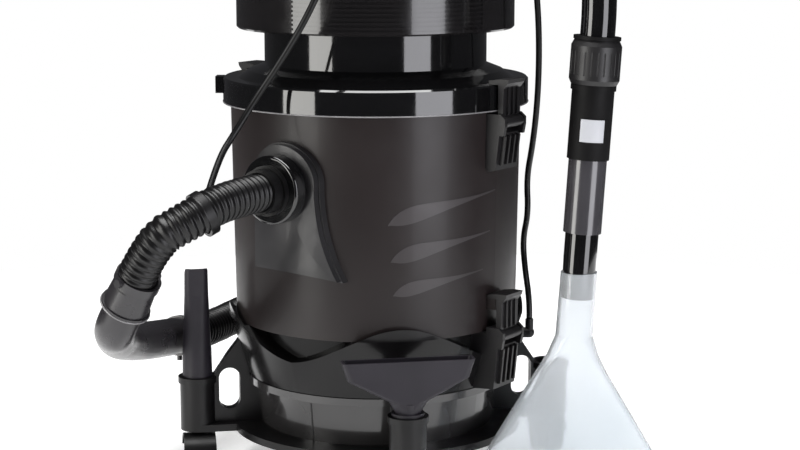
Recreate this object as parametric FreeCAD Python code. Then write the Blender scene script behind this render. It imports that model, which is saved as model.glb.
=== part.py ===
"""Drum carpet cleaner: caster base with clean water tank, smoked recovery drum, motor head,
suction hose, solution tube and a standing wand with a clear floor nozzle.

Millimetres, +Z up. The origin is on the floor, on the drum's axis. A station at azimuth 0 faces -Y,
and azimuth 90 faces +X. Every sub-part is one file in parts/, named after its node.
"""
import FreeCAD, Part
import math
import os
from FreeCAD import Vector

os.makedirs("parts", exist_ok=True)

# ---- driving dimensions ------------------------------------------------------------------
# drum, which sets the width of the whole machine
DRUM_R_TOP = 164.0
DRUM_TAPER = 4.0
DRUM_WALL = 2.6
DRUM_HEIGHT = 266.0
GASKET_THICK = 2.0
INLET_DROP = 101.0          # the inlet's axis below the drum's top edge
# base
TRAY_THICK = 8.0
LOBE_OVERHANG = 41.0        # from the tray's edge to the caster and tool-holder axes
LOBE_AZIMUTHS = {"front_right": 45.0, "rear_right": 135.0, "rear_left": 225.0, "front_left": 315.0}
SKIRT_HEIGHT = 48.0
SKIRT_TAPER = 5.0
RIM_HEIGHT = 8.0
TANK_HEIGHT = 66.0
TANK_TAPER = 4.0
SHELL_WALL = 3.0
CROWN_CREST = 15.0          # the wave's crests above the drum's seat, one over each lobe
CROWN_DIP = 31.0            # its dips below the seat, one over each side
# casters
WHEEL_R = 22.0
WHEEL_WIDTH = 11.0
FORK_WEB = 11.0
CASTER_TRAIL = 11.0
CASTER_ROOM = 6.0           # between the wheels' tops and the tray
STEM_R = 4.0
AXLE_R = 3.0
RUNNING_GAP = 0.05
# lid and motor head
LID_OVERHANG = 8.0
LID_SKIRT = 26.0
LID_RISE = 15.0
NECK_R = 125.0
NECK_HEIGHT = 40.0
BAND_R = 156.0
BAND_HEIGHT = 68.0
CAP_RISE = 33.0
HEAD_WALL = 3.6
RIB_COUNT = 13
RIB_PITCH = 4.8
RIB_DEPTH = 1.3
RIB_SWEEP = 82.0            # the ribs cover this much of each half
# float
FLOAT_R = 19.0
FLOAT_SEAT_R = 14.0
CAGE_R = 34.0
# latches
LATCH_WIDTH = 34.0
LATCH_REACH = 40.0          # pivot to the ledge that the hook sits over
LATCH_PIN_R = 2.0
LATCH_KNUCKLE_R = 6.0
LATCH_GAP = 0.4
# tool holders and tools
SOCKET_R = 16.2
SOCKET_DEPTH = 32.0
SOCKET_WALL = 3.8
POST_HEIGHT = 54.0
SPIGOT_GAP = 0.1
# hose and tube
HOSE_D = 42.0
TUBE_D = 7.0
# wand
WAND_R = 18.5
SIDE_YAW = 35.0             # the hose, tube and wand are laid out in a frame turned this far
WAND_OVERHANG = 48.0        # from the tray's edge to the wand's foot, sideways in the turned frame
WAND_FORWARD = 132.0
WAND_LEAN = 3.5
LEAN_HEIGHT = 140.0
NOZZLE_WIDTH = 228.0
NOZZLE_WALL = 2.4
# the drum and head that the hose's and tube's routes are drawn round
ROUTE_DRUM_R = 164.0
ROUTE_CAP_TOP = 608.0

# ---- widths that follow from them ---------------------------------------------------------
DRUM_R_BOTTOM = DRUM_R_TOP - DRUM_TAPER
LID_R = DRUM_R_TOP + LID_OVERHANG
TANK_R_TOP = DRUM_R_TOP - 17
TANK_R_BOTTOM = TANK_R_TOP - TANK_TAPER
CROWN_R = DRUM_R_TOP + 4.5
RIM_R = TANK_R_BOTTOM + 6
SKIRT_R_TOP = RIM_R - 10
SKIRT_R_BOTTOM = SKIRT_R_TOP - SKIRT_TAPER
SCREW_R = SKIRT_R_BOTTOM - 19
TRAY_R = DRUM_R_TOP + 2
POST_R = SOCKET_R + SOCKET_WALL
LOBE_REACH = TRAY_R + LOBE_OVERHANG
WAND_SIDE = TRAY_R + WAND_OVERHANG
CUFF_R = HOSE_D / 2 + 3
SPIGOT_OUT_R = WAND_R - 1.5
TAIL_R = WAND_R + 2
GRIP_R = WAND_R + 4.2
RING_R = GRIP_R + 4.3
ELBOW_R = HOSE_D / 2 + 0.5

# ---- levels that follow from them ---------------------------------------------------------
TRAY_BOTTOM = 2 * WHEEL_R + CASTER_ROOM
TRAY_TOP = TRAY_BOTTOM + TRAY_THICK
SKIRT_TOP = TRAY_TOP + SKIRT_HEIGHT
RIM_TOP = SKIRT_TOP + RIM_HEIGHT
TANK_TOP = RIM_TOP + TANK_HEIGHT
DRUM_BOTTOM = TANK_TOP
DRUM_TOP = DRUM_BOTTOM + DRUM_HEIGHT
INLET_HEIGHT = DRUM_TOP - INLET_DROP
LID_UNDER = DRUM_TOP + GASKET_THICK
LID_SHOULDER = LID_UNDER + 4.0
LID_TOP = LID_SHOULDER + LID_RISE
NECK_TOP = LID_TOP + NECK_HEIGHT
BAND_TOP = NECK_TOP + BAND_HEIGHT
CAP_TOP = BAND_TOP + CAP_RISE
POST_TOP = TRAY_TOP + POST_HEIGHT
Z_AXIS = Vector(0, 0, 1)
ORIGIN = Vector(0, 0, 0)


# ---- helpers -------------------------------------------------------------------------------
def save(node, shape):
    if isinstance(shape, (list, tuple)):
        shape = Part.makeCompound(list(shape))
    bad = [s for s in shape.Solids if not s.isValid() or s.Volume <= 0]
    if bad or not shape.Solids:
        raise ValueError("bad solid in " + node)
    shape.exportStep("parts/" + node + ".step")


def tidy(shape):
    return shape.removeSplitter()


def largest(shape):
    return max(shape.Solids, key=lambda solid: solid.Volume)


def cyl(radius, low, high, x=0.0, y=0.0):
    return Part.makeCylinder(radius, high - low, Vector(x, y, low))


def rod(radius, start, end):
    return Part.makeCylinder(radius, (end - start).Length, start, end - start)


def ring(outer, inner, low, high, x=0.0, y=0.0):
    return cyl(outer, low, high, x, y).cut(cyl(inner, low - 1, high + 1, x, y))


def block(x0, x1, y0, y1, z0, z1):
    return Part.makeBox(x1 - x0, y1 - y0, z1 - z0, Vector(x0, y0, z0))


def turned(profile, angle=360.0):
    """Solid of revolution about Z from (radius, height) corners."""
    face = Part.Face(Part.makePolygon([Vector(r, 0, z) for r, z in profile + profile[:1]]))
    return face.revolve(ORIGIN, Z_AXIS, angle)


def plate(profile, x0, x1):
    """Radial plate at azimuth 0 from (radius, height) corners, between two x values."""
    face = Part.Face(Part.makePolygon([Vector(x0, -r, z) for r, z in profile + profile[:1]]))
    return face.extrude(Vector(x1 - x0, 0, 0))


def around(shape, azimuth):
    copy = shape.copy()
    copy.rotate(ORIGIN, Z_AXIS, azimuth)
    return copy


def side_frame(shape):
    return around(shape, SIDE_YAW)


def side_point(side, forward, height):
    a = math.radians(SIDE_YAW)
    return Vector(side * math.cos(a) + forward * math.sin(a),
                  side * math.sin(a) - forward * math.cos(a), height)


def beside(side, forward, height):
    """Point of a route drawn round the drum and head, which moves out and up with their size."""
    spread, lift = DRUM_R_TOP / ROUTE_DRUM_R, CAP_TOP / ROUTE_CAP_TOP
    return side_point(side * spread, forward * spread, height * lift)


def rounded(width, depth, radius, z, x=0.0, y=0.0):
    """Rounded rectangle wire at a height."""
    w, d, r = width / 2, depth / 2, radius
    diag = r * math.sqrt(0.5)
    corners = [(w - r, d - r, 1, 1), (-w + r, d - r, -1, 1), (-w + r, -d + r, -1, -1), (w - r, -d + r, 1, -1)]
    arcs = []
    for i, (cx, cy, sx, sy) in enumerate(corners):
        a = Vector(cx + r * sx, cy, 0) if i % 2 == 0 else Vector(cx, cy + r * sy, 0)
        b = Vector(cx, cy + r * sy, 0) if i % 2 == 0 else Vector(cx + r * sx, cy, 0)
        mid = Vector(cx + diag * sx, cy + diag * sy, 0)
        arcs.append((a, mid, b))
    edges = []
    for i, (a, mid, b) in enumerate(arcs):
        edges.append(Part.Arc(a, mid, b).toShape())
        edges.append(Part.LineSegment(b, arcs[(i + 1) % 4][0]).toShape())
    wire = Part.Wire(edges)
    wire.translate(Vector(x, y, z))
    return wire


def loft(wires):
    return Part.makeLoft(wires, True, True)


def route(points, name, report=True):
    """Wire of straight runs joined by tangent arcs, each as large as its two runs allow."""
    edges, at, radii = [], points[0], []
    for before, corner, after in zip(points, points[1:], points[2:]):
        come, leave = (corner - before), (after - corner)
        shorter = min(come.Length, leave.Length)
        turn = come.getAngle(leave)
        radius = 0.45 * shorter / math.tan(turn / 2)
        radii.append(radius)
        reach = 0.45 * shorter
        come.normalize()
        leave.normalize()
        start, end = corner - come * reach, corner + leave * reach
        inward = leave - come
        inward.normalize()
        middle = corner + inward * (radius / math.cos(turn / 2) - radius)
        edges.append(Part.LineSegment(at, start).toShape())
        edges.append(Part.Arc(start, middle, end).toShape())
        at = end
    edges.append(Part.LineSegment(at, points[-1]).toShape())
    if report:
        print(name, "length %.0f" % sum(e.Length for e in edges), "radii",
              " ".join("%.0f" % r for r in radii))
    return Part.Wire(edges)


def swept(points, radius, name, bore=0.0, report=True):
    path = route(points, name, report)
    heading = points[1] - points[0]
    solid = None
    for r in (radius, bore):
        if r > 0:
            circle = Part.Wire(Part.makeCircle(r, points[0], heading))
            tube = path.makePipeShell([circle], True, False)
            expected = math.pi * r * r * path.Length
            if abs(tube.Volume - expected) > 0.01 * expected:
                raise ValueError("sweep volume is off in " + name)
            solid = tube if solid is None else solid.cut(tube)
    return solid


# ---- base ----------------------------------------------------------------------------------
def screw_points():
    return [(SCREW_R * math.sin(math.radians(a)), -SCREW_R * math.cos(math.radians(a)))
            for a in (0, 90, 180, 270)]


def base_tray():
    tray = cyl(TRAY_R, TRAY_BOTTOM, TRAY_TOP)
    for azimuth in LOBE_AZIMUTHS.values():
        arm = block(-POST_R, POST_R, -LOBE_REACH, -TRAY_R + 30, TRAY_BOTTOM, TRAY_TOP)
        pad = cyl(POST_R, TRAY_BOTTOM, TRAY_TOP, 0, -LOBE_REACH)
        tray = tray.fuse(around(arm.fuse(pad), azimuth))
    for azimuth in LOBE_AZIMUTHS.values():
        bore = cyl(STEM_R + RUNNING_GAP, TRAY_BOTTOM - 1, TRAY_TOP + 1, 0, -LOBE_REACH)
        tray = tray.cut(around(bore, azimuth))
    for x, y in screw_points():
        tray = tray.cut(cyl(2.2, TRAY_BOTTOM - 1, TRAY_TOP + 1, x, y))
    return tidy(tray)


def base_skirt():
    foot = 4.0
    wall = turned([(SKIRT_R_BOTTOM, TRAY_TOP), (SKIRT_R_TOP, SKIRT_TOP), (SKIRT_R_TOP - SHELL_WALL, SKIRT_TOP),
                   (SKIRT_R_BOTTOM - SHELL_WALL, TRAY_TOP + foot), (SCREW_R - 7, TRAY_TOP + foot), (SCREW_R - 7, TRAY_TOP)])
    for x, y in screw_points():
        wall = wall.cut(cyl(2.2, TRAY_TOP - 1, TRAY_TOP + foot + 1, x, y))
    return tidy(wall.fuse(ring(RIM_R, SKIRT_R_TOP - SHELL_WALL, SKIRT_TOP, RIM_TOP)))


def base_screws():
    screws = []
    for x, y in screw_points():
        head = cyl(4.5, TRAY_BOTTOM - 2.6, TRAY_BOTTOM, x, y)
        shank = cyl(2.0, TRAY_BOTTOM, TRAY_TOP + 9, x, y)
        slot = block(x - 3, x + 3, y - 0.6, y + 0.6, TRAY_BOTTOM - 3, TRAY_BOTTOM - 1.4)
        screws.append(head.fuse(shank).cut(slot))
    return screws


def tank_outline(extra=0.0):
    return turned([(0, RIM_TOP), (TANK_R_BOTTOM + extra, RIM_TOP), (TANK_R_TOP + extra, TANK_TOP), (0, TANK_TOP)])


def clean_tank():
    inside = turned([(0, RIM_TOP + SHELL_WALL), (TANK_R_BOTTOM - SHELL_WALL, RIM_TOP + SHELL_WALL),
                     (TANK_R_TOP - SHELL_WALL, TANK_TOP - SHELL_WALL), (0, TANK_TOP - SHELL_WALL)])
    outlet = cyl(3.0, RIM_TOP - 1, RIM_TOP + SHELL_WALL + 1, 0, 60)
    return tank_outline().cut(inside).cut(outlet)


def crown_wave(x):
    """Height of the crown's top edge across one quarter, from dip to crest to dip."""
    reach = CROWN_R * math.sin(math.radians(45))
    level = 0.5 + 0.5 * math.cos(math.pi * min(1.0, abs(x) / reach))
    return TANK_TOP - CROWN_DIP + (CROWN_DIP + CROWN_CREST) * level ** 0.8


def crown():
    """Wavy collar round the tank; its crests lap over the foot of the drum."""
    low = turned([(TANK_R_BOTTOM - 2, RIM_TOP), (RIM_R - 1, RIM_TOP), (CROWN_R, TANK_TOP + 2),
                  (CROWN_R, TANK_TOP + CROWN_CREST + 5), (DRUM_R_TOP + 1.6, TANK_TOP + CROWN_CREST + 5),
                  (DRUM_R_TOP + 1.6, TANK_TOP), (TANK_R_TOP - 2, TANK_TOP)]).cut(tank_outline(0.4))
    edge = Part.BSplineCurve()
    span = CROWN_R * 1.05
    edge.interpolate([Vector(x, 0, crown_wave(x)) for x in
                      [-span, -0.71 * CROWN_R, -0.6 * CROWN_R, -0.45 * CROWN_R, -0.3 * CROWN_R, -0.15 * CROWN_R, 0,
                       0.15 * CROWN_R, 0.3 * CROWN_R, 0.45 * CROWN_R, 0.6 * CROWN_R, 0.71 * CROWN_R, span]])
    ends = [Vector(span, 0, crown_wave(span)), Vector(span, 0, RIM_TOP - 2), Vector(-span, 0, RIM_TOP - 2),
            Vector(-span, 0, crown_wave(span))]
    sides = [Part.makeLine(p, q) for p, q in zip(ends, ends[1:])]
    below = Part.Face(Part.Wire([edge.toShape()] + sides)).extrude(Vector(0, -200, 0))
    far = 300.0
    wedge = Part.Face(Part.makePolygon([ORIGIN, Vector(-far, -far, 0), Vector(far, -far, 0), ORIGIN]))
    quarter = wedge.extrude(Vector(0, 0, far)).common(below)
    whole = None
    for azimuth in LOBE_AZIMUTHS.values():
        piece = low.common(around(quarter, azimuth))
        whole = piece if whole is None else whole.fuse(piece)
    return tidy(whole)


def lobe_arm():
    """Windowed radial arm that ends in a socket post; the caster's stem turns in its foot."""
    root = SKIRT_R_BOTTOM - 14
    outline = [(root, TRAY_TOP), (LOBE_REACH, TRAY_TOP), (LOBE_REACH, POST_TOP - 6), (LOBE_REACH - 19, POST_TOP + 2),
               (LOBE_REACH - 35, POST_TOP + 26), (LOBE_REACH - 49, TANK_TOP - 24), (root, TANK_TOP - 24)]
    arm = plate(outline, -7, 7)
    near, far, foot, head = -LOBE_REACH + 48, -LOBE_REACH + 24, TRAY_TOP + 28, POST_TOP - 4
    mid = (near + far) / 2
    window = Part.Wire([Part.makeLine(Vector(0, near, foot), Vector(0, near, head)),
                        Part.Arc(Vector(0, near, head), Vector(0, mid, head + 13), Vector(0, far, head)).toShape(),
                        Part.makeLine(Vector(0, far, head), Vector(0, far, foot)),
                        Part.Arc(Vector(0, far, foot), Vector(0, mid, foot - 13), Vector(0, near, foot)).toShape()])
    arm = arm.cut(Part.Face(window).extrude(Vector(30, 0, 0)).translated(Vector(-15, 0, 0)))
    post = cyl(POST_R, TRAY_TOP, POST_TOP, 0, -LOBE_REACH)
    collar = cyl(POST_R + 2, POST_TOP - 7, POST_TOP, 0, -LOBE_REACH)
    body = arm.fuse(post).fuse(collar)
    body = body.cut(cyl(SOCKET_R, POST_TOP - SOCKET_DEPTH, POST_TOP + 40, 0, -LOBE_REACH))
    body = body.cut(cyl(STEM_R + RUNNING_GAP, TRAY_TOP - 1, TRAY_TOP + 17, 0, -LOBE_REACH))
    body = body.cut(turned([(0, TRAY_TOP - 1), (SKIRT_R_BOTTOM, TRAY_TOP - 1), (SKIRT_R_BOTTOM, TRAY_TOP),
                            (SKIRT_R_TOP, SKIRT_TOP), (RIM_R, SKIRT_TOP), (RIM_R, RIM_TOP), (0, RIM_TOP)]))
    body = body.cut(cyl(POST_R - 1, POST_TOP, POST_TOP + 40, 0, -LOBE_REACH))
    return body.cut(tank_outline())


def water_pump():
    body = rod(19.0, Vector(-34, 60, TRAY_TOP + 24), Vector(34, 60, TRAY_TOP + 24))
    foot = block(-30, 30, 42, 78, TRAY_TOP, TRAY_TOP + 10)
    inlet = cyl(4.0, TRAY_TOP + 30, RIM_TOP - 0.1, 0, 60)
    return tidy(body.fuse(foot).fuse(inlet))


FITTING_AZIMUTH = 125.0
FITTING_REACH = CROWN_R + 8.5
FITTING_HEIGHT = TANK_TOP - 26.0


def pump_fitting():
    barrel = rod(6.0, Vector(0, -TANK_R_TOP + 7, FITTING_HEIGHT), Vector(0, -FITTING_REACH, FITTING_HEIGHT))
    elbow = Part.makeSphere(6.0, Vector(0, -FITTING_REACH, FITTING_HEIGHT))
    barb = cyl(TUBE_D / 2 + 1.2, FITTING_HEIGHT, FITTING_HEIGHT + 16, 0, -FITTING_REACH)
    flange = rod(10.0, Vector(0, -TANK_R_TOP + 7, FITTING_HEIGHT), Vector(0, -TANK_R_TOP - 3, FITTING_HEIGHT))
    return tidy(barrel.fuse(elbow).fuse(barb).fuse(flange).cut(tank_outline()))


# ---- casters ---------------------------------------------------------------------------------
def caster_fork():
    """Twin-wheel caster's web, hood and stem, with the wheels trailing along +x from the stem."""
    axis_x = CASTER_TRAIL
    hood_r = WHEEL_R + 3.4
    half = FORK_WEB / 2 + WHEEL_WIDTH + 1.6
    web = rod(hood_r, Vector(axis_x, -FORK_WEB / 2 + 0.4, WHEEL_R), Vector(axis_x, FORK_WEB / 2 - 0.4, WHEEL_R))
    web = web.cut(block(-60, 60, -60, 60, -10, 3.5))
    hood = rod(hood_r, Vector(axis_x, -half, WHEEL_R), Vector(axis_x, half, WHEEL_R))
    hood = hood.cut(rod(WHEEL_R + 1.2, Vector(axis_x, -60, WHEEL_R), Vector(axis_x, 60, WHEEL_R)))
    hood = hood.cut(block(-60, 60, -60, 60, -10, WHEEL_R + 7))
    stem = cyl(STEM_R, WHEEL_R + 8, TRAY_TOP + 15)
    boss = cyl(STEM_R + 4, WHEEL_R + 4, TRAY_BOTTOM - 1.0)
    room = rod(WHEEL_R + 1.2, Vector(axis_x, -60, WHEEL_R), Vector(axis_x, -FORK_WEB / 2 + 0.4, WHEEL_R)).fuse(
        rod(WHEEL_R + 1.2, Vector(axis_x, FORK_WEB / 2 - 0.4, WHEEL_R), Vector(axis_x, 60, WHEEL_R)))
    fork = web.fuse(hood).fuse(boss.cut(room)).fuse(stem.cut(room))
    return tidy(fork.cut(rod(AXLE_R + RUNNING_GAP, Vector(axis_x, -60, WHEEL_R), Vector(axis_x, 60, WHEEL_R))))


def caster_wheels():
    x = CASTER_TRAIL
    pair = rod(AXLE_R, Vector(x, -FORK_WEB / 2 - WHEEL_WIDTH, WHEEL_R), Vector(x, FORK_WEB / 2 + WHEEL_WIDTH, WHEEL_R))
    for side in (-1, 1):
        inner, outer = side * (FORK_WEB / 2 + 0.2), side * (FORK_WEB / 2 + WHEEL_WIDTH)
        tyre = rod(WHEEL_R, Vector(x, inner, WHEEL_R), Vector(x, outer, WHEEL_R))
        tyre = tyre.makeFillet(2.5, [e for e in tyre.Edges if abs(e.Length - 2 * math.pi * WHEEL_R) < 0.1])
        dish = rod(WHEEL_R - 7, Vector(x, outer - side * 2, WHEEL_R), Vector(x, outer + side, WHEEL_R))
        hub = rod(7.0, Vector(x, inner, WHEEL_R), Vector(x, outer - side * 0.4, WHEEL_R))
        pair = pair.fuse(tyre.cut(dish)).fuse(hub)
    return pair


# ---- drum and inlet ---------------------------------------------------------------------------
def drum_radius(z):
    return DRUM_R_BOTTOM + (DRUM_R_TOP - DRUM_R_BOTTOM) * (z - DRUM_BOTTOM) / DRUM_HEIGHT


def drum_outline(extra=0.0, top=None):
    top = DRUM_TOP if top is None else top
    return turned([(0, DRUM_BOTTOM), (drum_radius(DRUM_BOTTOM) + extra, DRUM_BOTTOM),
                   (drum_radius(top) + extra, top), (0, top)])


INLET_BORE = CUFF_R - 0.2


def drum():
    inside = turned([(0, DRUM_BOTTOM + 3), (DRUM_R_BOTTOM - DRUM_WALL, DRUM_BOTTOM + 3),
                     (DRUM_R_TOP - DRUM_WALL, DRUM_TOP + 1), (0, DRUM_TOP + 1)])
    bead = ring(DRUM_R_TOP + 2.4, DRUM_R_TOP - 1, DRUM_TOP - 6, DRUM_TOP)
    shell = drum_outline().fuse(bead).cut(inside)
    hole = rod(INLET_BORE + 4, Vector(0, -DRUM_R_TOP + 44, INLET_HEIGHT), Vector(0, -DRUM_R_TOP - 36, INLET_HEIGHT))
    for ledge in drum_catches():
        shell = shell.fuse(ledge)
    return tidy(shell.cut(hole))


def inlet_socket():
    tube = rod(INLET_BORE + 4, Vector(0, -DRUM_R_TOP + 34, INLET_HEIGHT), Vector(0, -DRUM_R_TOP - 30, INLET_HEIGHT))
    mouth = rod(37.0, Vector(0, -DRUM_R_TOP - 14, INLET_HEIGHT), Vector(0, -DRUM_R_TOP - 30, INLET_HEIGHT))
    mouth = mouth.makeFillet(3.0, [max(mouth.Edges, key=lambda e: (e.Length, -e.CenterOfMass.y))])
    bore = rod(INLET_BORE, Vector(0, -DRUM_R_TOP + 64, INLET_HEIGHT), Vector(0, -DRUM_R_TOP - 96, INLET_HEIGHT))
    return tidy(tube.fuse(mouth).fuse(inlet_deflector()).cut(bore))


def inlet_deflector():
    """Elbow inside the drum that turns the wet air down the wall."""
    y = -DRUM_R_TOP + 34
    body = block(-32, 32, y, y + 34, INLET_HEIGHT - 48, INLET_HEIGHT + 32)
    body = body.cut(block(-29, 29, y - 1, y + 31, INLET_HEIGHT - 60, INLET_HEIGHT + 29))
    flange = rod(31.0, Vector(0, y, INLET_HEIGHT), Vector(0, y + 4, INLET_HEIGHT))
    back = block(-32, 32, y, y + 3, INLET_HEIGHT - 32, INLET_HEIGHT + 32).fuse(flange)
    return body.fuse(back)


def inlet_plate():
    """Shield-shaped plate round the inlet, with a raised wing down its right flank."""
    shield = Part.Wire([
        Part.Arc(Vector(-43, 0, INLET_HEIGHT), Vector(0, 0, INLET_HEIGHT + 49), Vector(45, 0, INLET_HEIGHT)).toShape(),
        Part.Arc(Vector(45, 0, INLET_HEIGHT), Vector(52, 0, INLET_HEIGHT - 55), Vector(68, 0, INLET_HEIGHT - 99)).toShape(),
        Part.Arc(Vector(68, 0, INLET_HEIGHT - 99), Vector(10, 0, INLET_HEIGHT - 92), Vector(-46, 0, INLET_HEIGHT - 92)).toShape(),
        Part.makeLine(Vector(-46, 0, INLET_HEIGHT - 92), Vector(-43, 0, INLET_HEIGHT))])
    wing = Part.Wire([
        Part.Arc(Vector(-34, 0, INLET_HEIGHT + 26), Vector(2, 0, INLET_HEIGHT + 47), Vector(43, 0, INLET_HEIGHT)).toShape(),
        Part.Arc(Vector(43, 0, INLET_HEIGHT), Vector(50, 0, INLET_HEIGHT - 55), Vector(66, 0, INLET_HEIGHT - 97)).toShape(),
        Part.Arc(Vector(66, 0, INLET_HEIGHT - 97), Vector(32, 0, INLET_HEIGHT - 60), Vector(14, 0, INLET_HEIGHT - 20)).toShape(),
        Part.Arc(Vector(14, 0, INLET_HEIGHT - 20), Vector(12, 0, INLET_HEIGHT + 22), Vector(-34, 0, INLET_HEIGHT + 26)).toShape()])
    reach = Vector(0, -DRUM_R_TOP - 66, 0)
    low = Part.Face(shield).extrude(reach).common(drum_outline(8.0))
    high = Part.Face(wing).extrude(reach).common(drum_outline(15.0))
    body = low.fuse(high).cut(drum_outline())
    return body.cut(rod(37.4, Vector(0, -DRUM_R_TOP - 13.6, INLET_HEIGHT), Vector(0, -DRUM_R_TOP - 66, INLET_HEIGHT))).cut(
        rod(INLET_BORE + 4, Vector(0, -DRUM_R_TOP + 64, INLET_HEIGHT), Vector(0, -DRUM_R_TOP - 66, INLET_HEIGHT)))


# ---- lid, head and what they hold ---------------------------------------------------------------
def lid():
    inner = LID_R - 3.4
    ring_body = turned([(NECK_R - 7, LID_UNDER), (inner, LID_UNDER), (inner, LID_UNDER - LID_SKIRT + 2), (LID_R, LID_UNDER - LID_SKIRT + 2),
                   (LID_R, LID_SHOULDER - 2), (LID_R - 2, LID_SHOULDER), (LID_R - 17, LID_SHOULDER),
                   (NECK_R + 18, LID_TOP - 7), (NECK_R, LID_TOP), (NECK_R - 7, LID_TOP)])
    return tidy(ring_body.fuse(lid_lug()))


def lid_lug():
    """Cord lug on the lid's edge."""
    body = block(-9, 9, -LID_R - 9, -LID_R + 8, LID_SHOULDER - 20, LID_SHOULDER - 1)
    return around(body.cut(cyl(LID_R, LID_SHOULDER - 60, LID_SHOULDER + 10)), -57)


def motor_deck():
    deck = cyl(NECK_R - HEAD_WALL - 0.4, LID_TOP, LID_TOP + 4)
    return deck.cut(cyl(FLOAT_SEAT_R, LID_TOP - 1, LID_TOP + 5))


def head_neck():
    return ring(NECK_R, NECK_R - HEAD_WALL, LID_TOP, NECK_TOP)


def band_profile(ribbed):
    """Section of the head's band, with or without the ribs on its outer wall."""
    inner = BAND_R - HEAD_WALL
    wall = [(NECK_R - HEAD_WALL, NECK_TOP), (BAND_R - 2, NECK_TOP), (BAND_R, NECK_TOP + 2)]
    for i in range(RIB_COUNT if ribbed else 0):
        low = NECK_TOP + 5 + i * RIB_PITCH
        high = low + RIB_PITCH / 2
        wall += [(BAND_R, low), (BAND_R - RIB_DEPTH, low), (BAND_R - RIB_DEPTH, high), (BAND_R, high)]
    return wall + [(BAND_R, BAND_TOP), (inner, BAND_TOP), (inner, NECK_TOP + 3), (NECK_R - HEAD_WALL, NECK_TOP + 3)]


def head_band():
    ribbed = turned(band_profile(True), RIB_SWEEP)
    plain = turned(band_profile(False), 180 - RIB_SWEEP)
    shell = None
    for azimuth in (1.0, 181.0):
        pair = around(ribbed, azimuth - 90).fuse(around(plain, azimuth - 90 + RIB_SWEEP))
        shell = pair if shell is None else shell.fuse(pair)
    return shell


def dome(extra=0.0):
    return turned([(0, BAND_TOP), (BAND_R + extra, BAND_TOP), (BAND_R - 5 + extra, BAND_TOP + CAP_RISE * 0.45),
                   (BAND_R - 26, BAND_TOP + CAP_RISE * 0.76 + extra), (60, CAP_TOP + extra), (0, CAP_TOP + extra)])


def head_cap():
    inner = turned([(0, BAND_TOP - 1), (BAND_R - HEAD_WALL, BAND_TOP - 1), (BAND_R - HEAD_WALL - 5, BAND_TOP + CAP_RISE * 0.45),
                    (BAND_R - 28, BAND_TOP + CAP_RISE * 0.76 - HEAD_WALL), (60, CAP_TOP - HEAD_WALL), (0, CAP_TOP - HEAD_WALL)])
    return dome().cut(inner)


def carry_handle():
    top = CAP_TOP + 38
    body = block(-13, 13, -72, 72, CAP_TOP - 20, top)
    body = body.makeFillet(9.0, [e for e in body.Edges if abs(e.BoundBox.ZMin - top) < 0.1 and e.BoundBox.YLength < 1])
    grip = block(-20, 20, -50, 50, CAP_TOP - 30, top - 13)
    grip = grip.makeFillet(8.0, [e for e in grip.Edges if abs(e.BoundBox.ZMin - top + 13) < 0.1 and e.BoundBox.YLength < 1])
    return body.cut(grip).cut(dome())


SWITCH_AZIMUTH = -30.0
SWITCH_REACH = 95.0
SWITCH_HEIGHT = CAP_TOP - 1.0
ROCKER_TILT = 6.0
SWITCH_SIDES = {"vacuum": -13.0, "pump": 13.0}


def switch_panel():
    body = block(-30, 30, -SWITCH_REACH - 18, -SWITCH_REACH + 18, BAND_TOP + 4, SWITCH_HEIGHT + 4)
    body = body.cut(dome())
    base = block(-30, 30, -SWITCH_REACH - 18, -SWITCH_REACH + 18, BAND_TOP + 6, SWITCH_HEIGHT + 4)
    well_floor = SWITCH_HEIGHT - 9
    cap_hole = None
    for x in SWITCH_SIDES.values():
        well = block(x - 10.2, x + 10.2, -SWITCH_REACH - 14, -SWITCH_REACH + 14, well_floor, SWITCH_HEIGHT + 6)
        body = body.cut(well)
        cap_hole = well if cap_hole is None else cap_hole.fuse(well)
    walls = base.common(cap_panel_hole()).cut(cap_hole)
    return tidy(body.fuse(walls).cut(rocker_pins(LATCH_PIN_R + RUNNING_GAP))), cap_hole


def cap_panel_hole():
    return block(-28, 28, -SWITCH_REACH - 16, -SWITCH_REACH + 16, BAND_TOP + 6, SWITCH_HEIGHT + 20)


def rocker_pins(radius):
    pins = None
    for x in SWITCH_SIDES.values():
        pin = rod(radius, Vector(x - 11.6, -SWITCH_REACH, SWITCH_HEIGHT - 1), Vector(x + 11.6, -SWITCH_REACH, SWITCH_HEIGHT - 1))
        pins = pin if pins is None else pins.fuse(pin)
    return pins


def rocker(x):
    y, z = -SWITCH_REACH, SWITCH_HEIGHT - 1
    body = block(x - 9.9, x + 9.9, y - 12.6, y + 12.6, z - 3, z + 6.5)
    body = body.cut(rod(40.0, Vector(x - 20, y, z + 45), Vector(x + 20, y, z + 45)))
    pin = rod(LATCH_PIN_R, Vector(x - 11.4, y, z), Vector(x + 11.4, y, z))
    body = body.fuse(pin)
    body.rotate(Vector(x, y, z), Vector(1, 0, 0), -ROCKER_TILT)
    return body


def fan_housing():
    low, high = LID_TOP + 4, LID_TOP + 38
    return tidy(motor_deck().fuse(cyl(72, low, high).cut(cyl(69, low - 1, high - 3)).cut(cyl(STEM_R + 2, high - 5, high + 1))))


def impeller():
    low = LID_TOP + 8
    disc = cyl(62, low, low + 2).fuse(cyl(10, low, low + 24))
    for i in range(9):
        blade = block(-1, 1, 9, 60, low + 2, low + 20)
        blade.rotate(Vector(0, 30, 0), Z_AXIS, 22)
        disc = disc.fuse(around(blade, i * 40))
    return disc.fuse(cyl(STEM_R, low, low + 78))


def motor_body():
    low = LID_TOP + 38
    return cyl(48, low, low + 58).cut(cyl(STEM_R + RUNNING_GAP, low - 1, low + 59))


CAGE_DEPTH = 74.0


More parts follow.
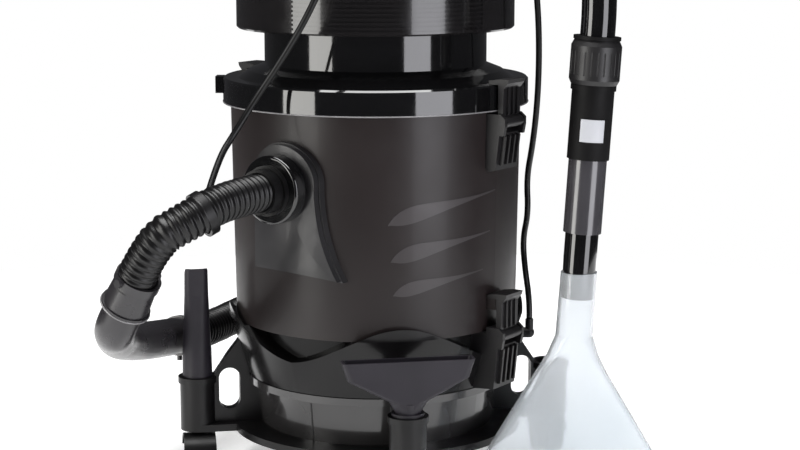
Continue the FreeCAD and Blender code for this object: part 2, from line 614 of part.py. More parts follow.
def float_cage():
    low = LID_TOP - CAGE_DEPTH
    cage = ring(CAGE_R, CAGE_R - 2.5, low, LID_TOP)
    floor = ring(CAGE_R, 12, low, low + 3)
    cage = cage.fuse(floor)
    for i in range(4):
        slot = block(-8, 8, -CAGE_R - 2, -CAGE_R + 5, low + 12, LID_TOP - 16)
        cage = cage.cut(around(slot, i * 90))
    return cage


def float_ball():
    seat = math.sqrt(FLOAT_R ** 2 - 12.0 ** 2)
    return Part.makeSphere(FLOAT_R, Vector(0, 0, LID_TOP - CAGE_DEPTH + 3 + seat + 0.3))


def foam_filter():
    return ring(58, CAGE_R + 1.0, LID_TOP - CAGE_DEPTH + 6, LID_TOP)


def cord_gland():
    start = Vector(0, BAND_R - 1, BAND_TOP - 30)
    body = rod(11, start, start + Vector(0, 5, 0)).fuse(rod(6.5, start, start + Vector(0, 16, 0)))
    return body.cut(rod(3.6, start - Vector(0, 5, 0), start + Vector(0, 20, 0))).cut(cyl(BAND_R, NECK_TOP, BAND_TOP))


# ---- latches ------------------------------------------------------------------------------------
LATCH_PIVOT_R = LID_R + 2.0 + LATCH_KNUCKLE_R
LATCH_INNER_R = LID_R + 2.0
UPPER_PIVOT = LID_SHOULDER - LATCH_REACH
LOWER_PIVOT = TANK_TOP - 3.0
LATCH_AZIMUTHS = {"right": 90.0, "left": 270.0}


def latch_lever(pivot_z):
    half = LATCH_WIDTH / 2
    ledge = pivot_z + LATCH_REACH + LATCH_GAP
    profile = [(LATCH_INNER_R, pivot_z), (LATCH_INNER_R, ledge), (LID_R - 10, ledge), (LID_R - 10, ledge + 4),
               (LATCH_INNER_R + 2, ledge + 6), (LATCH_INNER_R + 13, ledge + 6), (LATCH_INNER_R + 12, ledge + 2),
               (LATCH_INNER_R + 7, ledge - 4), (LATCH_PIVOT_R, pivot_z)]
    lever = plate(profile, -half, half)
    knuckle = rod(LATCH_KNUCKLE_R, Vector(-half, -LATCH_PIVOT_R, pivot_z), Vector(half, -LATCH_PIVOT_R, pivot_z))
    lever = lever.fuse(knuckle)
    for x in (-9.0, 0.0, 9.0):
        rib = plate([(LATCH_INNER_R + 6, pivot_z + 7), (LATCH_INNER_R + 9, pivot_z + 9),
                     (LATCH_INNER_R + 9, ledge - 3), (LATCH_INNER_R + 6, ledge - 3)], x - 1.2, x + 1.2)
        lever = lever.fuse(rib)
    pin = rod(LATCH_PIN_R + RUNNING_GAP, Vector(-30, -LATCH_PIVOT_R, pivot_z), Vector(30, -LATCH_PIVOT_R, pivot_z))
    return tidy(lever.cut(pin))


def latch_pins():
    half = LATCH_WIDTH / 2 + 4.8
    pins = []
    for z in (UPPER_PIVOT, LOWER_PIVOT):
        for azimuth in LATCH_AZIMUTHS.values():
            pin = rod(LATCH_PIN_R, Vector(-half, -LATCH_PIVOT_R, z), Vector(half, -LATCH_PIVOT_R, z))
            pins.append(around(pin, azimuth))
    return pins


def latch_bracket(pivot_z, foot, wall_r):
    """Seat, ears and finned lower body of one latch, before it is trimmed to the wall behind it."""
    ear_in, ear_out = LATCH_WIDTH / 2 + 0.4, LATCH_WIDTH / 2 + 4.8
    back = LATCH_PIVOT_R - LATCH_KNUCKLE_R - 0.5
    body = plate([(wall_r - 10, foot + 10), (wall_r + 2, foot), (LATCH_PIVOT_R - 6, foot + 2), (LATCH_PIVOT_R - 1, pivot_z - 12),
                  (back, pivot_z - 8), (back, pivot_z + 9), (wall_r - 10, pivot_z + 9)], -ear_out, ear_out)
    ear = plate([(back - 2, pivot_z - 14), (LATCH_PIVOT_R + 4, pivot_z - 14), (LATCH_PIVOT_R + 6, pivot_z - 4),
                 (LATCH_PIVOT_R + 6, pivot_z + 4), (LATCH_PIVOT_R, pivot_z + 9), (back - 2, pivot_z + 9)], ear_in, ear_out)
    body = body.fuse(ear).fuse(ear.mirror(ORIGIN, Vector(1, 0, 0)))
    for x in (-14.0, -5.0, 5.0, 14.0):
        body = body.fuse(plate([(LATCH_PIVOT_R - 12, foot + 6), (LATCH_PIVOT_R - 1, foot + 8), (LATCH_PIVOT_R + 3, pivot_z - 15),
                                (LATCH_PIVOT_R - 8, pivot_z - 12)], x - 1.4, x + 1.4))
    room = rod(LATCH_KNUCKLE_R + 0.4, Vector(-ear_in, -LATCH_PIVOT_R, pivot_z), Vector(ear_in, -LATCH_PIVOT_R, pivot_z))
    pin = rod(LATCH_PIN_R, Vector(-30, -LATCH_PIVOT_R, pivot_z), Vector(30, -LATCH_PIVOT_R, pivot_z))
    return body.cut(room).cut(pin)


def upper_bracket():
    return latch_bracket(UPPER_PIVOT, UPPER_PIVOT - 54, DRUM_R_TOP).cut(drum_outline())


def lower_bracket():
    body = latch_bracket(LOWER_PIVOT, RIM_TOP + 1, TANK_R_TOP)
    return body.cut(tank_outline()).cut(cyl(DRUM_R_TOP + 1.6, TANK_TOP - 0.2, TANK_TOP + 60))


def drum_catches():
    """Two ledges at the foot of the drum that the lower latches hook over."""
    top = LOWER_PIVOT + LATCH_REACH
    ledge = block(-LATCH_WIDTH / 2 + 2, LATCH_WIDTH / 2 - 2, -LID_R, -DRUM_R_TOP + 24, top - 12, top).cut(drum_outline())
    return [around(ledge, a) for a in LATCH_AZIMUTHS.values()]


# ---- hose ---------------------------------------------------------------------------------------
CUFF_LENGTH = 47.0
CUFF_START = DRUM_R_TOP + 2.0
CUFF_MOUTH = CUFF_START + CUFF_LENGTH
HOSE_INSERT = 28.0          # how far the hose is pushed into the cuff
HOSE_START = CUFF_MOUTH - HOSE_INSERT


def hose_inlet_cuff():
    y = -CUFF_START
    tube = rod(INLET_BORE - 0.3, Vector(0, y, INLET_HEIGHT), Vector(0, -DRUM_R_TOP - 30, INLET_HEIGHT))
    tube = tube.fuse(rod(CUFF_R + 3, Vector(0, -DRUM_R_TOP - 30, INLET_HEIGHT), Vector(0, -DRUM_R_TOP - 36, INLET_HEIGHT)))
    tube = tube.fuse(rod(CUFF_R, Vector(0, -DRUM_R_TOP - 36, INLET_HEIGHT), Vector(0, -CUFF_MOUTH, INLET_HEIGHT)))
    tube = tube.cut(rod(HOSE_D / 2 - 3, Vector(0, y + 5, INLET_HEIGHT), Vector(0, -CUFF_MOUTH - 1, INLET_HEIGHT)))
    return tidy(tube.cut(rod(HOSE_D / 2 + 0.1, Vector(0, -HOSE_START, INLET_HEIGHT), Vector(0, -CUFF_MOUTH - 1, INLET_HEIGHT))))


CONE_LENGTH = 42.0
CONE_START = beside(-240, 236, 268)
CONE_AXIS = side_point(-0.42, -0.35, -0.84).normalize()
CONE_END = CONE_START + CONE_AXIS * CONE_LENGTH
ELBOW_PATH = [CONE_END, CONE_END + CONE_AXIS * 32, beside(-276, 160, 184), beside(-270, 104, 168),
              beside(-255, 48, 156), beside(-231, -8, 148)]
COLLAR_AXIS = (ELBOW_PATH[-1] - ELBOW_PATH[-2]).normalize()
COLLAR_END = ELBOW_PATH[-1] + COLLAR_AXIS * 8


def hose_front_points():
    return [Vector(0, -HOSE_START, INLET_HEIGHT), Vector(0, -CUFF_MOUTH - 46, INLET_HEIGHT), beside(-181, 238, 329),
            CONE_START - CONE_AXIS * 46, CONE_END]


def hose_flare():
    """Sleeve with a finger ring and two tabs, which widens to a lip over the elbow."""
    cone = Part.makeCone(HOSE_D / 2 + 1.2, HOSE_D / 2 + 4, CONE_LENGTH, CONE_START, CONE_AXIS)
    lip = rod(HOSE_D / 2 + 5.6, CONE_END - CONE_AXIS * 4, CONE_END)
    collar = rod(HOSE_D / 2 + 3.4, CONE_START, CONE_START + CONE_AXIS * 9)
    cross = CONE_AXIS.cross(Vector(0, 0, 1))
    cross.normalize()
    reach = HOSE_D / 2 + 8
    tabs = rod(4.5, CONE_START + CONE_AXIS * 4.5 - cross * reach, CONE_START + CONE_AXIS * 4.5 + cross * reach)
    return cone.fuse(lip).fuse(collar).fuse(tabs).cut(rod(HOSE_D / 2 + 0.1, CONE_START - CONE_AXIS, CONE_END + CONE_AXIS))


def hose_elbow():
    return swept(ELBOW_PATH, ELBOW_R, "elbow", HOSE_D / 2 - 3, report=False).fuse(elbow_collar())


def elbow_collar():
    start = ELBOW_PATH[-1]
    body = rod(ELBOW_R + 2, start, COLLAR_END)
    peg = rod(3.0, start + COLLAR_AXIS * 4 - Vector(0, 0, ELBOW_R - 1.5), start + COLLAR_AXIS * 4 - Vector(0, 0, ELBOW_R + 7.5))
    return body.fuse(peg).cut(rod(HOSE_D / 2 - 3, start - COLLAR_AXIS, COLLAR_END + COLLAR_AXIS))


# ---- wand -----------------------------------------------------------------------------------------
def wand_place(shape):
    copy = shape.copy()
    copy.rotate(Vector(0, 0, LEAN_HEIGHT), Vector(0, 1, 0), WAND_LEAN)
    copy.translate(Vector(WAND_SIDE, -WAND_FORWARD, 0))
    return side_frame(copy)


def wand_axis(height):
    """Point of the leaning wand axis at a height, in the turned frame."""
    lean = math.radians(WAND_LEAN)
    along = height - LEAN_HEIGHT
    return Vector(WAND_SIDE + along * math.sin(lean), -WAND_FORWARD, LEAN_HEIGHT + along * math.cos(lean))


SPIGOT_LOW, SPIGOT_TOP = 224.0, 300.0
NECK_MOUTH = 252.0
TAIL_LOW, TAIL_TOP = 296.0, 376.0
GRIP_TOP = 507.0
RING_LOW, RING_HIGH = 456.0, 503.0
BUTTON_LOW, BUTTON_HIGH = 396.0, 420.0
BUTTON_TRAVEL = 4.0
TOP_BEND = 672.0


def wand_spigot():
    body = cyl(SPIGOT_OUT_R, SPIGOT_LOW, SPIGOT_TOP).fuse(cyl(SPIGOT_OUT_R + 0.9, NECK_MOUTH + 1.6, TAIL_LOW))
    return wand_place(tidy(body.cut(cyl(SPIGOT_OUT_R - 2.5, SPIGOT_LOW - 1, SPIGOT_TOP + 1))))


def grip_tail():
    body = cyl(TAIL_R, TAIL_LOW, TAIL_TOP).cut(cyl(SPIGOT_OUT_R, TAIL_LOW - 1, TAIL_TOP + 1))
    return wand_place(body)


def grip():
    body = cyl(GRIP_R, TAIL_TOP, GRIP_TOP).fuse(cyl(GRIP_R + 1.6, RING_LOW - 6, RING_LOW - 0.4))
    body = body.fuse(cyl(GRIP_R + 2.6, RING_HIGH + 0.4, GRIP_TOP))
    body = body.cut(cyl(WAND_R + 0.2, TAIL_TOP - 1, GRIP_TOP + 1))
    housing = block(-16, 16, -GRIP_R, -8, BUTTON_LOW - 3, BUTTON_HIGH + 3).common(cyl(GRIP_R, BUTTON_LOW - 5, BUTTON_HIGH + 5))
    body = body.fuse(housing)
    body = body.cut(block(-12.9, 12.9, -GRIP_R - 5, -10, BUTTON_LOW - 0.3, BUTTON_HIGH + 0.3))
    bleed = rod(3.0, Vector(0, 0, 480), Vector(0, 40, 480))
    return wand_place(tidy(body.cut(bleed)))


def trigger_button():
    body = block(-12.6, 12.6, -GRIP_R - 3, -14.5, BUTTON_LOW, BUTTON_HIGH)
    return wand_place(body.common(cyl(GRIP_R + 1.2, BUTTON_LOW - 1, BUTTON_HIGH + 1)))


def bleed_ring():
    body = turned([(GRIP_R + RUNNING_GAP, RING_LOW), (RING_R - 2.5, RING_LOW), (RING_R, RING_LOW + 5), (RING_R, RING_HIGH - 6),
                   (RING_R - 3, RING_HIGH), (GRIP_R + RUNNING_GAP, RING_HIGH)])
    for i in range(24):
        groove = rod(1.0, Vector(0, -RING_R - 0.3, RING_LOW + 10), Vector(0, -RING_R - 0.3, RING_HIGH - 12))
        body = body.cut(around(groove, i * 15.0))
    window = rod(4.0, ORIGIN, Vector(0, 40, 0))
    window.translate(Vector(0, 0, 480))
    return wand_place(body.cut(around(window, 60)))


def wand_tube_points():
    low = wand_axis(GRIP_TOP - 10)
    bend = wand_axis(GRIP_TOP + 22)
    top = Vector(bend.x, bend.y, TOP_BEND)
    return [low, bend, top, top + Vector(0, 72, 0)]


def wand_tube():
    return side_frame(swept(wand_tube_points(), WAND_R, "wand", WAND_R - 2.5, report=False))


def top_cuff():
    start = wand_tube_points()[-1] - Vector(0, 12, 0)
    body = rod(CUFF_R, start, start + Vector(0, 48, 0)).cut(rod(WAND_R, start - Vector(0, 1, 0), start + Vector(0, 12, 0)))
    body = body.cut(rod(HOSE_D / 2 - 3, start, start + Vector(0, 50, 0)))
    return side_frame(body)


def hose_rear_points():
    cuff_end = wand_tube_points()[-1] + Vector(0, 36, 0)
    side, forward = cuff_end.x, -cuff_end.y
    return [COLLAR_END + COLLAR_AXIS * 0.02, COLLAR_END + COLLAR_AXIS * 44, beside(-192, -110, 139), beside(-166, -164, 142),
            beside(-126, -211, 149), beside(-74, -246, 161), beside(-14, -264, 180), beside(44, -264, 210),
            beside(92, -250, 254), beside(123, -232, 310), beside(138, -214, 374), beside(144, -200, 438),
            beside(152, -192, 502), beside(168, -184, 560), beside(194, -170, 608),
            side_point(side - 14, forward - 168, TOP_BEND - 30), side_point(side + 6, forward - 128, TOP_BEND - 10),
            side_point(side + 10, forward - 78, TOP_BEND - 2), side_point(side, forward - 32, TOP_BEND),
            side_point(side, forward, TOP_BEND)]


def nozzle_sections(shrink):
    """Rounded sections from the neck down to the sole."""
    lean = math.tan(math.radians(WAND_LEAN))
    neck = 2 * SPIGOT_OUT_R + 5.6
    rows = [(NECK_MOUTH, neck, neck, neck / 2 - 0.2), (182.0, neck + 1, neck, neck / 2 - 0.8), (160.0, neck + 16.4, 34.0, 15.0), (140.0, 78.0, 29.0, 12.0),
            (16.0, NOZZLE_WIDTH - 4, 25.0, 8.0)]
    wires = []
    for z, width, depth, radius in rows:
        shift = max(0.0, z - LEAN_HEIGHT) * lean
        wires.append(rounded(width - 2 * shrink, depth - 2 * shrink, radius - shrink, z, WAND_SIDE + shift, -WAND_FORWARD))
    return wires


def floor_nozzle():
    fan = loft(nozzle_sections(0.0))
    sole = block(WAND_SIDE - NOZZLE_WIDTH / 2, WAND_SIDE + NOZZLE_WIDTH / 2, -WAND_FORWARD - 17, -WAND_FORWARD + 17, 0, 16.5)
    sole = sole.makeFillet(6.0, [e for e in sole.Edges if e.BoundBox.ZLength > 10])
    inside = loft(nozzle_sections(NOZZLE_WALL))
    mouth = block(WAND_SIDE - NOZZLE_WIDTH / 2 + 9, WAND_SIDE + NOZZLE_WIDTH / 2 - 9,
                  -WAND_FORWARD - 8, -WAND_FORWARD + 8, -1, 18)
    body = fan.fuse(sole).cut(inside).cut(mouth)
    socket = cyl(SPIGOT_OUT_R + 0.2, SPIGOT_LOW - 0.5, NECK_MOUTH + 2)
    socket.rotate(Vector(0, 0, LEAN_HEIGHT), Vector(0, 1, 0), WAND_LEAN)
    socket.translate(Vector(WAND_SIDE, -WAND_FORWARD, 0))
    return side_frame(body.cut(socket))


# ---- tools that stand in the holders ------------------------------------------------------------------
def tool_spigot(bore):
    low = POST_TOP - SOCKET_DEPTH + 0.5
    return cyl(SOCKET_R - SPIGOT_GAP, low, POST_TOP + 0.4, 0, -LOBE_REACH), cyl(bore, low - 1, POST_TOP + 1, 0, -LOBE_REACH)


def crevice_tool():
    """Slim slanted nozzle, standing mouth up."""
    z0, foot = POST_TOP + 0.4, 2 * SOCKET_R + 1.6
    rows = [(z0, foot, foot, foot / 2 - 0.2, 0), (z0 + 30, foot - 2, foot - 1, foot / 2 - 1.2, 0), (z0 + 60, 26, 30, 12.6, 2), (z0 + 95, 18, 27, 8.6, 5),
            (z0 + 126, 16, 26, 7.4, 7)]
    outer = loft([rounded(w, d, r, z, s, -LOBE_REACH) for z, w, d, r, s in rows])
    inner = loft([rounded(w - 4.4, d - 4.4, r - 2.2, z + (1 if z > z0 + 100 else -0.5 if z == z0 else 0), s, -LOBE_REACH)
                  for z, w, d, r, s in rows])
    spigot, bore = tool_spigot(SOCKET_R - 2.6)
    body = outer.fuse(spigot).cut(inner).cut(bore)
    slant = block(-40, 40, -30, 30, 0, 60)
    slant.rotate(ORIGIN, Vector(0, 1, 0), -52)
    slant.translate(Vector(8, -LOBE_REACH, z0 + 122))
    return body.cut(slant)


def upholstery_tool():
    """Wide hand nozzle, standing mouth up, on a round neck."""
    z0 = POST_TOP - 18
    bore_r = SOCKET_R - 4.9
    neck = cyl(bore_r + 2.7, POST_TOP, POST_TOP + 14, 0, -LOBE_REACH)
    foot = cyl(SOCKET_R + 1.3, POST_TOP + 0.4, POST_TOP + 3.4, 0, -LOBE_REACH)
    rows = [(z0 + 22, 28, 28, 13.8), (z0 + 34, 42, 26, 12.0), (z0 + 58, 130, 22, 8.0), (z0 + 78, 142, 20, 5.0)]
    outer = loft([rounded(w, d, r, z, 0, -LOBE_REACH) for z, w, d, r in rows])
    inner = loft([rounded(w - 5, d - 5, r - 2.5, z + (1 if z > z0 + 70 else -4 if z < z0 + 25 else 0), 0, -LOBE_REACH)
                  for z, w, d, r in rows])
    spigot, bore = tool_spigot(bore_r)
    through = cyl(bore_r, POST_TOP, z0 + 24, 0, -LOBE_REACH)
    return outer.fuse(neck).fuse(foot).fuse(spigot).cut(inner).cut(bore).cut(through)


# ---- solution tube ------------------------------------------------------------------------------------
def fitting_mouth():
    a = math.radians(FITTING_AZIMUTH)
    return Vector(FITTING_REACH * math.sin(a), -FITTING_REACH * math.cos(a), FITTING_HEIGHT + 16)


CLIP_SPOT = beside(-173, 233, 333)       # on the hose's axis
TUBE_ENTRY = side_point(-0.10, 0.62, -0.78).normalize()
TUBE_END = CLIP_SPOT - TUBE_ENTRY * (HOSE_D / 2 + 20)


def solution_tube_points():
    return [fitting_mouth(), fitting_mouth() + Vector(0, 0, 22), beside(173, -28, 224), beside(171, -42, 256),
            beside(176, -24, 290), beside(174, -32, 330), beside(179, -8, 372), beside(182, 14, 420),
            beside(183, 22, 470), beside(181, 30, 522), beside(175, 40, 574), beside(152, 54, 618),
            beside(108, 70, 640), beside(62, 90, 644), beside(16, 116, 636), beside(-24, 147, 614),
            beside(-48, 171, 574), beside(-68, 176, 526), beside(-90, 170, 480), beside(-114, 158, 443),
            beside(-132, 164, 410), CLIP_SPOT - TUBE_ENTRY * (HOSE_D / 2 + 58), TUBE_END]


def tube_clip():
    """Clip round the hose where the solution tube goes in to run along inside it."""
    points = hose_front_points()
    path = route(points, "clip", report=False)
    centre = CLIP_SPOT
    spot = min((e.valueAt(e.FirstParameter + (e.LastParameter - e.FirstParameter) * i / 40.0)
                for e in path.Edges for i in range(41)), key=lambda p: (p - centre).Length)
    heading = points[3] - points[1]
    heading.normalize()
    band = rod(HOSE_D / 2 + 3.2, spot - heading * 5, spot + heading * 5)
    boss = rod(TUBE_D / 2 + 2.5, spot, TUBE_END)
    bore = swept(points, HOSE_D / 2, "clip bore", report=False)
    return largest(tidy(band.fuse(boss).cut(bore)))


# ---- write every node ----------------------------------------------------------------------------------
def main():
    collar = crown()
    save("base_tray", base_tray())
    save("base_skirt", base_skirt())
    save("base_screws", base_screws())
    save("clean_tank", clean_tank())
    arms = [largest(around(lobe_arm(), azimuth).cut(collar)) for azimuth in LOBE_AZIMUTHS.values()]
    brackets = [largest(around(lower_bracket(), azimuth).cut(collar)) for azimuth in LATCH_AZIMUTHS.values()]
    save("base_crown", collar)
    save("lobe_arms", arms)
    save("water_pump", water_pump())
    save("pump_fitting", largest(around(pump_fitting(), FITTING_AZIMUTH).cut(collar)))
    for name, azimuth in LOBE_AZIMUTHS.items():
        spot = around(Part.Vertex(Vector(0, -LOBE_REACH, 0)), azimuth).Point
        for node, shape in (("caster_fork_", caster_fork()), ("caster_wheels_", caster_wheels())):
            shape.rotate(ORIGIN, Z_AXIS, azimuth)
            shape.translate(Vector(spot.x, spot.y, 0))
            save(node + name, shape)
    save("drum", drum())
    save("inlet_socket", inlet_socket())
    save("inlet_plate", inlet_plate())
    save("lid_gasket", ring(DRUM_R_TOP + 1, DRUM_R_TOP - 4, DRUM_TOP, LID_UNDER))
    save("lid", lid())
    save("head_neck", head_neck())
    save("head_band", head_band())
    panel, wells = switch_panel()
    hole = cap_panel_hole()
    save("head_cap", head_cap().cut(around(hole, SWITCH_AZIMUTH)))
    save("switch_panel", around(panel, SWITCH_AZIMUTH))
    for name, x in SWITCH_SIDES.items():
        save("rocker_" + name, around(rocker(x), SWITCH_AZIMUTH))
    save("carry_handle", carry_handle())
    save("fan_housing", fan_housing())
    save("impeller", impeller())
    save("motor_body", motor_body())
    save("float_cage", float_cage())
    save("float_ball", float_ball())
    save("foam_filter", foam_filter())
    save("cord_gland", cord_gland())
    save("latch_pins", latch_pins())
    save("upper_brackets", [around(upper_bracket(), azimuth) for azimuth in LATCH_AZIMUTHS.values()])
    save("lower_brackets", brackets)
    for side, azimuth in LATCH_AZIMUTHS.items():
        save("upper_latch_" + side, around(latch_lever(UPPER_PIVOT), azimuth))
        save("lower_latch_" + side, around(latch_lever(LOWER_PIVOT), azimuth))
    save("hose_inlet_cuff", hose_inlet_cuff())
    save("hose_front", swept(hose_front_points(), HOSE_D / 2, "hose_front"))
    save("hose_flare", hose_flare())
    save("hose_elbow", hose_elbow())
    save("hose_rear", swept(hose_rear_points(), HOSE_D / 2, "hose_rear"))
    save("tube_clip", tube_clip())
    save("solution_tube", swept(solution_tube_points(), TUBE_D / 2, "solution_tube"))
    save("wand_spigot", wand_spigot())
    save("grip_tail", grip_tail())
    save("grip", grip())
    save("trigger_button", trigger_button())
    save("bleed_ring", bleed_ring())
    save("wand_tube", wand_tube())
    save("top_cuff", top_cuff())
    save("floor_nozzle", floor_nozzle())
    save("crevice_tool", around(crevice_tool(), LOBE_AZIMUTHS["front_left"]))
    save("upholstery_tool", around(upholstery_tool(), LOBE_AZIMUTHS["front_right"]))


main()
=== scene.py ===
"""Drum carpet cleaner: looks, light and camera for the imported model."""
import bpy
import math
import random
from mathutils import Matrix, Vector


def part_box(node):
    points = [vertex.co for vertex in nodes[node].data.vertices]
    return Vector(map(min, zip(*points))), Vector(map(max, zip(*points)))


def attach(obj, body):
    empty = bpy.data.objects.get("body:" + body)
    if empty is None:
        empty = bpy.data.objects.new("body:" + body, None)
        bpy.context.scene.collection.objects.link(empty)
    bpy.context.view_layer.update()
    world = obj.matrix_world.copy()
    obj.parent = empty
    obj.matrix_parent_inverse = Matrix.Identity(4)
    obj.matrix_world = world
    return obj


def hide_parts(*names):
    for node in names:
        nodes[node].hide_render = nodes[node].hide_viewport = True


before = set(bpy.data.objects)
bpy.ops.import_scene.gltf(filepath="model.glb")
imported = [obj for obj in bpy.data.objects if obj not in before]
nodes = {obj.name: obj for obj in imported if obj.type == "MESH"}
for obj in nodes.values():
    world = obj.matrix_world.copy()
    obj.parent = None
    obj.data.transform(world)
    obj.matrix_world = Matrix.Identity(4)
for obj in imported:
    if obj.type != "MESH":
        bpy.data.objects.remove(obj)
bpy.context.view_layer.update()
scene = bpy.context.scene

# Camera: how far round from the machine's front, how far up, and how far off in metres
YAW = math.radians(35)
CAMERA_RISE = math.radians(10)
CAMERA_DISTANCE = 2.2
CAMERA_LENS = 86.4          # mm
SENSOR_WIDTH = 36.0         # mm

# Hoses and solution tube, in metres
HOSE_RADIUS = 0.0210
HOSE_PITCH = 0.0074
HOSE_GROOVE = 0.0023
HOSE_UNEVEN = 0.00022       # how much one ring may stand prouder or lower than the next
TUBE_RADIUS = 0.0035

# Smoked drum: radius at the rim's height, and how much it narrows over its length
DRUM_RADIUS = 0.164
DRUM_HIGH = 0.446
DRUM_SPAN = 0.266
DRUM_TAPER = 0.004
MARK_PROUD = 0.00035        # thickness of the print on the drum

# Skirt: radius at a given height and how fast it widens upwards, then its seams' lower and upper ends
SKIRT_RADIUS = 0.1363
SKIRT_RADIUS_HEIGHT = 0.080
SKIRT_SLOPE = 0.1042
SEAM_LOW = 0.0560
SEAM_HIGH = 0.1012
# Across a seam: turn in degrees, and how far out of the skirt's wall
SEAM_PROFILE = ((-0.5, -0.0002), (-0.3, 0.0006), (0.3, 0.0006), (0.5, -0.0002))

# Thin pale ring under the lid's rim and round the flared cuff's lip: painted edge highlights
LID_HIGHLIGHT_RADIUS, LID_HIGHLIGHT_THICK, LID_HIGHLIGHT_RISE = 0.1719, 0.0008, 0.0004
LIP_HIGHLIGHT_RADIUS, LIP_HIGHLIGHT_THICK = 0.0266, 0.0009

FLOOR_RADIUS = 1.3
FLOOR_SIDES = 96
FLOOR_GLOW = 0.4
UNSEEN_ROOM = (0.04, 0.04, 0.043)    # what the glossy parts reflect
SEEN_ROOM = (1.0, 1.0, 1.0)          # what the camera sees, straight on or through the clear nozzle


def side(u, d, z):
    """Point in the frame turned to face the camera: sideways, towards the camera, up, in mm."""
    return Vector((u * math.cos(YAW) + d * math.sin(YAW), u * math.sin(YAW) - d * math.cos(YAW), z)) / 1000


# ---- camera -------------------------------------------------------------------------------
target = side(27.5, 0, 280)
back = Vector((math.sin(YAW) * math.cos(CAMERA_RISE), -math.cos(YAW) * math.cos(CAMERA_RISE),
               math.sin(CAMERA_RISE)))
camera = bpy.data.objects.new("camera", bpy.data.cameras.new("camera"))
camera.data.lens = CAMERA_LENS
camera.data.sensor_width = SENSOR_WIDTH
camera.location = target + back * CAMERA_DISTANCE
camera.rotation_euler = (-back).to_track_quat("-Z", "Y").to_euler()
scene.collection.objects.link(camera)
scene.camera = camera


# ---- materials ------------------------------------------------------------------------------
def material(name):
    """New material, with its node tree, its shader and a texture coordinate node."""
    made = bpy.data.materials.new(name)
    made.use_nodes = True
    tree = made.node_tree
    return made, tree, tree.nodes["Principled BSDF"], tree.nodes.new("ShaderNodeTexCoord")


def noise(tree, where, scale, detail=3.0, stretch=None):
    """Noise over the object's own coordinates, drawn out along an axis if stretch is given."""
    node = tree.nodes.new("ShaderNodeTexNoise")
    node.inputs["Scale"].default_value = scale
    node.inputs["Detail"].default_value = detail
    source = where.outputs["Object"]
    if stretch:
        mapping = tree.nodes.new("ShaderNodeMapping")
        mapping.inputs["Scale"].default_value = stretch
        tree.links.new(source, mapping.inputs["Vector"])
        source = mapping.outputs["Vector"]
    tree.links.new(source, node.inputs["Vector"])
    return node.outputs["Fac"]


def ranged(tree, value, low, high, from_low=0.3, from_high=0.7):
    """The value spread over a new range; the usual input range is the middle of a noise."""
    node = tree.nodes.new("ShaderNodeMapRange")
    node.inputs["From Min"].default_value = from_low
    node.inputs["From Max"].default_value = from_high
    node.inputs["To Min"].default_value = low
    node.inputs["To Max"].default_value = high
    tree.links.new(value, node.inputs["Value"])
    return node.outputs["Result"]


def mixed(tree, factor, first, second):
    """Blend of two plain colours."""
    node = tree.nodes.new("ShaderNodeMix")
    node.data_type = "RGBA"
    tree.links.new(factor, node.inputs["Factor"])
    node.inputs["A"].default_value = (*first, 1)
    node.inputs["B"].default_value = (*second, 1)
    return node.outputs["Result"]


def bumped(tree, shader, height, depth, strength=1.0):
    node = tree.nodes.new("ShaderNodeBump")
    node.inputs["Distance"].default_value = depth
    node.inputs["Strength"].default_value = strength
    tree.links.new(height, node.inputs["Height"])
    tree.links.new(node.outputs["Normal"], shader.inputs["Normal"])


def plastic(name, dark, light, rough, grain=900.0, grain_depth=0.00004, coat=0.0, rough_spread=0.05,
            specular=0.5):
    """Moulded plastic: a little cloudy in colour, with worn-in roughness and a fine moulded grain."""
    made, tree, shader, where = material(name)
    cloud = ranged(tree, noise(tree, where, 14.0), 0.0, 1.0)
    tree.links.new(mixed(tree, cloud, dark, light), shader.inputs["Base Color"])
    wear = ranged(tree, noise(tree, where, 45.0, 5.0), max(0.02, rough - rough_spread), rough + rough_spread)
    tree.links.new(wear, shader.inputs["Roughness"])
    shader.inputs["Specular IOR Level"].default_value = specular
    shader.inputs["Coat Weight"].default_value = coat
    shader.inputs["Coat Roughness"].default_value = 0.04
    bumped(tree, shader, noise(tree, where, grain, 2.0), grain_depth)
    return made


def brushed(name, dark, light, rough, stretch=(1, 1, 30)):
    """Brushed metal, with lines along one axis."""
    made, tree, shader, where = material(name)
    lines = noise(tree, where, 60.0, 4.0, stretch)
    tree.links.new(mixed(tree, ranged(tree, lines, 0, 1), dark, light), shader.inputs["Base Color"])
    shader.inputs["Metallic"].default_value = 1.0
    tree.links.new(ranged(tree, lines, rough - 0.06, rough + 0.08), shader.inputs["Roughness"])
    bumped(tree, shader, lines, 0.00003)
    return made


def smoked(name):
    """Smoked drum wall: near black face on, with painted light along the sides, greyer where the wall turns
    away from the eye, standing in for light shining through the thin wall.
    """
    made, tree, shader, where = material(name)
    cloud = ranged(tree, noise(tree, where, 6.0, 2.0), 0.0, 1.0)
    tint = mixed(tree, cloud, (0.0125, 0.0088, 0.0088), (0.0165, 0.0120, 0.0120))
    # Painted light: the wall's colour turns greyer towards the drum's sides, standing in for light shining
    # through the thin wall
    painted_edge_light = tree.nodes.new("ShaderNodeLayerWeight")
    painted_edge_light.inputs["Blend"].default_value = 0.22
    body = tree.nodes.new("ShaderNodeMix")
    body.data_type = "RGBA"
    tree.links.new(ranged(tree, painted_edge_light.outputs["Facing"], 0.0, 0.75, 0.25, 1.0), body.inputs["Factor"])
    tree.links.new(tint, body.inputs["A"])
    # Grey of the painted edge light
    body.inputs["B"].default_value = (0.085, 0.078, 0.078, 1)
    tree.links.new(body.outputs["Result"], shader.inputs["Base Color"])
    tree.links.new(ranged(tree, noise(tree, where, 25.0, 4.0), 0.34, 0.42), shader.inputs["Roughness"])
    shader.inputs["Specular IOR Level"].default_value = 0.3
    shader.inputs["Coat Weight"].default_value = 0.06
    shader.inputs["Coat Roughness"].default_value = 0.12
    bumped(tree, shader, noise(tree, where, 3.0, 1.0, (1, 1, 0.3)), 0.0006, 0.25)
    return made


